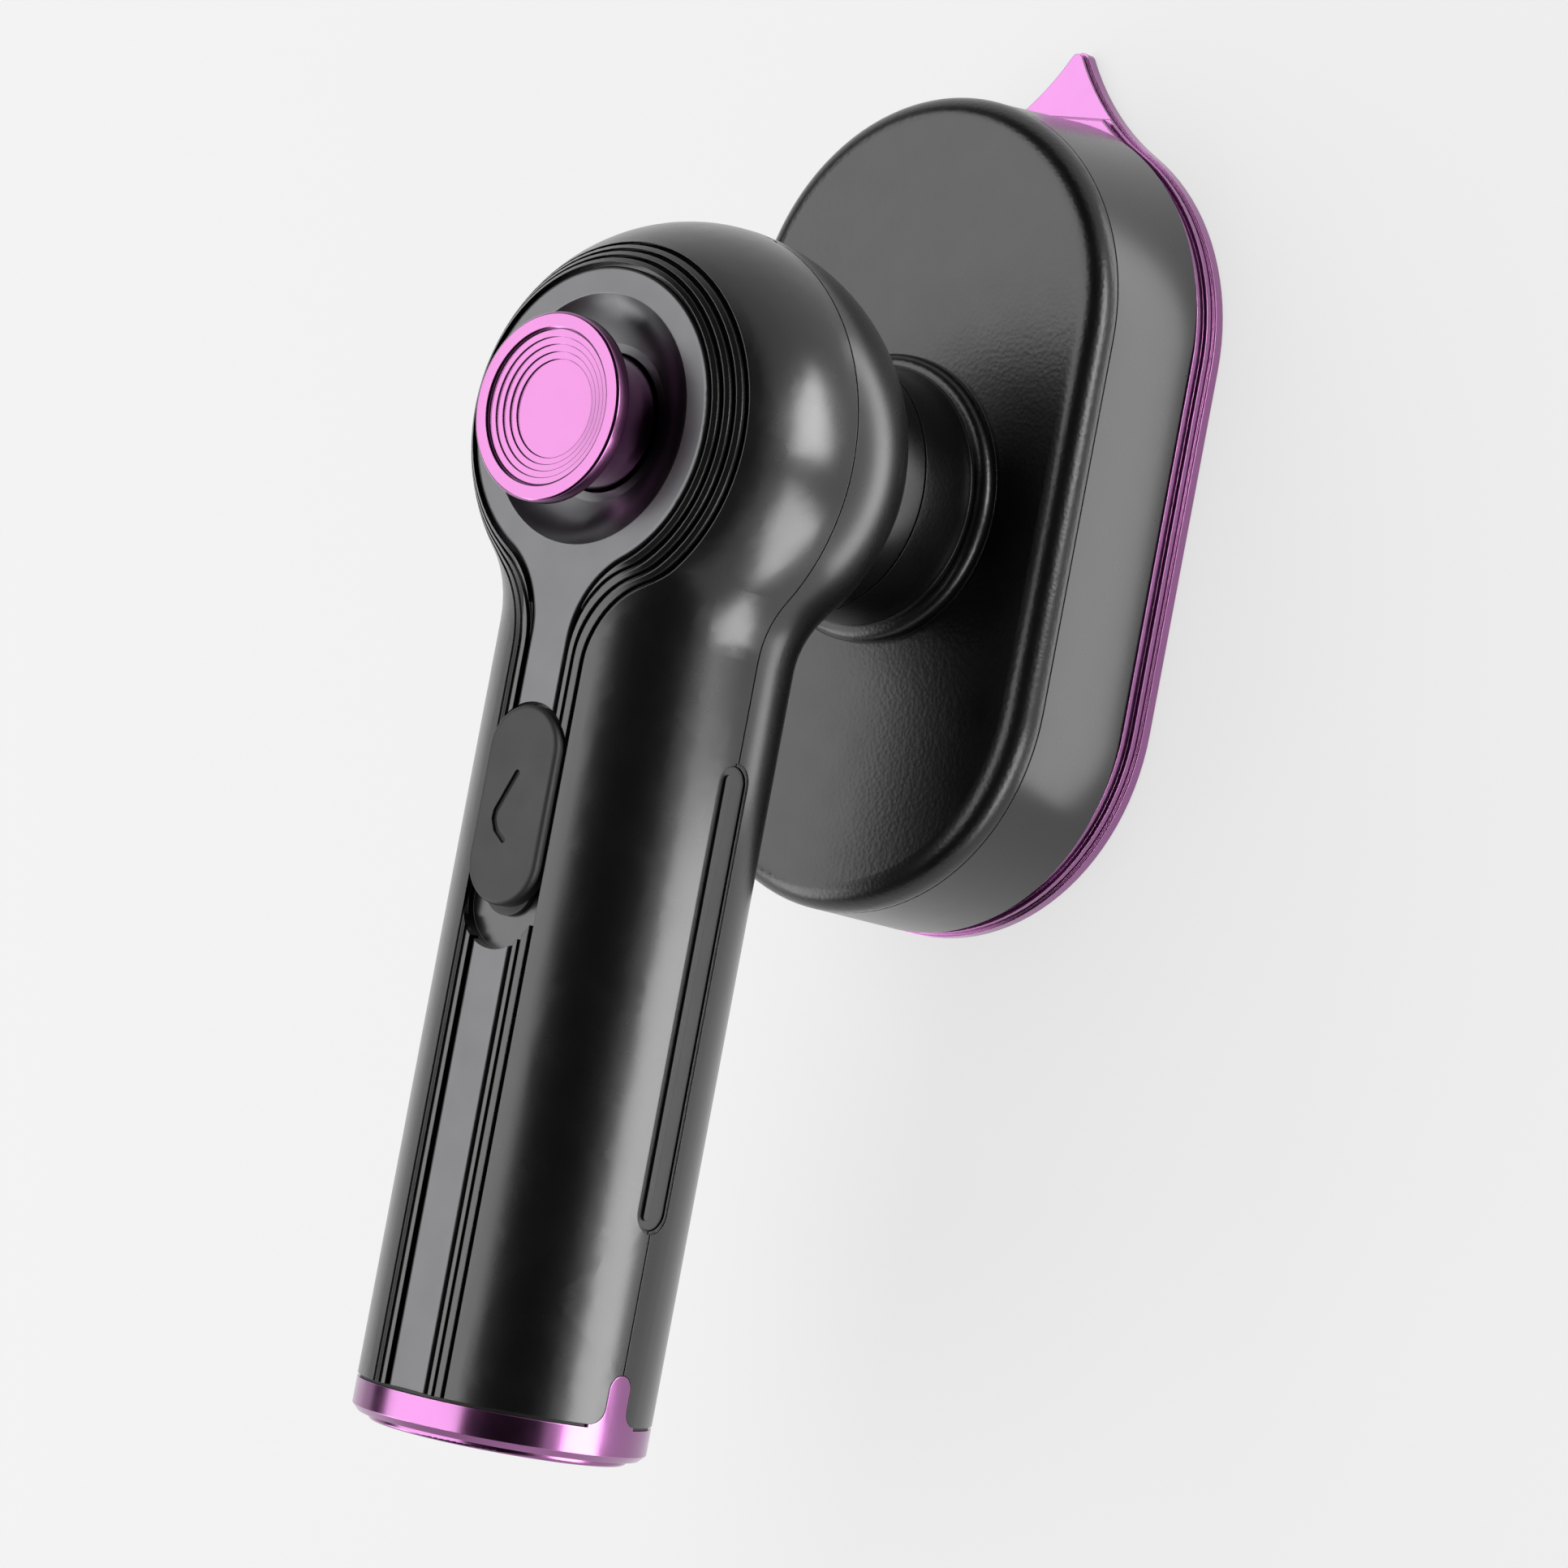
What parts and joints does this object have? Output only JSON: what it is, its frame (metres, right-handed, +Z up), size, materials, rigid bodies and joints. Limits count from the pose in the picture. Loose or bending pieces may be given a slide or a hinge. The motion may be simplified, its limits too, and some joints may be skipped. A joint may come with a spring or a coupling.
{
  "type": "handheld mini steam iron",
  "caption": "Handheld mini steam iron: round handle with ball top and press knob over a swivelling ironing head with pointed toe and ridged rim.",
  "frame": {"origin": "on the sole's working face, where the swivel axis meets it", "axes": "+Z up from the sole towards the press knob, along the swivel axis; +X towards the pointed toe, with the handle along -X at rest; +Y across"},
  "size_m": [0.1849, 0.0598, 0.0878],
  "materials": {
    "casing": "satin moulded ABS",
    "trim": "satin painted",
    "pink_metal": "pink anodised",
    "button": "soft-touch coat",
    "strip": "moulded soft strip",
    "sole_metal": "brushed and coated",
    "cast_block": "die-cast",
    "spring_steel": "plain",
    "screw_steel": "zinc plated",
    "brass": "turned",
    "acetal": "moulded acetal",
    "silicone": "moulded silicone",
    "black_silicone": "moulded silicone",
    "tank": "translucent moulded",
    "laminate": "glass-epoxy board",
    "nylon": "moulded nylon",
    "wire": "silicone-sleeved wire",
    "mica": "pressed mica board",
    "ceramic": "plain"
  },
  "bodies": {
    "head": {"soleplate": "sole_metal", "sole_rim": "pink_metal", "side_band": "casing", "head_cover": "casing", "swivel_bush": "acetal", "thrust_washer": "acetal", "heater_block": "cast_block", "heating_element": "spring_steel", "element_tags": "screw_steel", "chamber_gasket": "silicone", "chamber_lid": "cast_block", "lid_screws": "screw_steel", "thermostat": "ceramic", "thermal_fuse": "ceramic", "fuse_clip": "spring_steel", "heat_shield": "mica", "water_nipple": "brass", "nipple_oring": "silicone", "terminal_block": "ceramic", "head_loom": "wire", "base_screws": "screw_steel", "cover_screws": "screw_steel"},
    "handle": {"front_shell": "casing", "rear_shell": "casing", "face_trim": "trim", "stripe_trim": "trim", "pump_body": "acetal", "pump_cap": "acetal", "pump_mount": "nylon", "pump_spring": "spring_steel", "switch_body": "nylon", "control_board": "laminate", "heater_relay": "nylon", "board_screws": "screw_steel", "water_tank": "tank", "suction_tube": "silicone", "side_strip_left": "strip", "side_strip_right": "strip", "end_cap": "pink_metal", "cap_gasket": "black_silicone", "power_inlet": "nylon", "inlet_pins": "brass", "cap_screws": "screw_steel", "swivel_spindle": "brass", "wave_washer": "spring_steel", "spindle_circlip": "spring_steel", "stop_pin": "screw_steel", "spindle_screws": "screw_steel", "delivery_tube": "silicone", "handle_loom": "wire", "shell_screws": "screw_steel"},
    "knob": {"steam_knob": "pink_metal", "pump_plunger": "acetal", "plunger_seal": "black_silicone"},
    "slide": {"slide_button": "button", "switch_carriage": "acetal"},
    "filler": {"filler_plug": "black_silicone"}
  },
  "joints": [
    {"name": "head_swivel", "type": "hinge", "parent": "head", "child": "handle", "pos_m": [0, 0, 0.03645], "axis": [0, 0, 1], "range_deg": [-90, 90]},
    {"name": "knob_press", "type": "slide", "parent": "handle", "child": "knob", "axis": [0, 0, -1], "range_m": [0, 0.0025], "stiffness_N_per_m": 800, "springref_m": -0.002, "deforming": ["pump_spring"]},
    {"name": "switch_slide", "type": "slide", "parent": "handle", "child": "slide", "axis": [-1, 0, 0], "range_m": [0, 0.0038]},
    {"name": "filler_pull", "type": "slide", "parent": "handle", "child": "filler", "axis": [0, 0, -1], "range_m": [0, 0.006]}
  ]
}
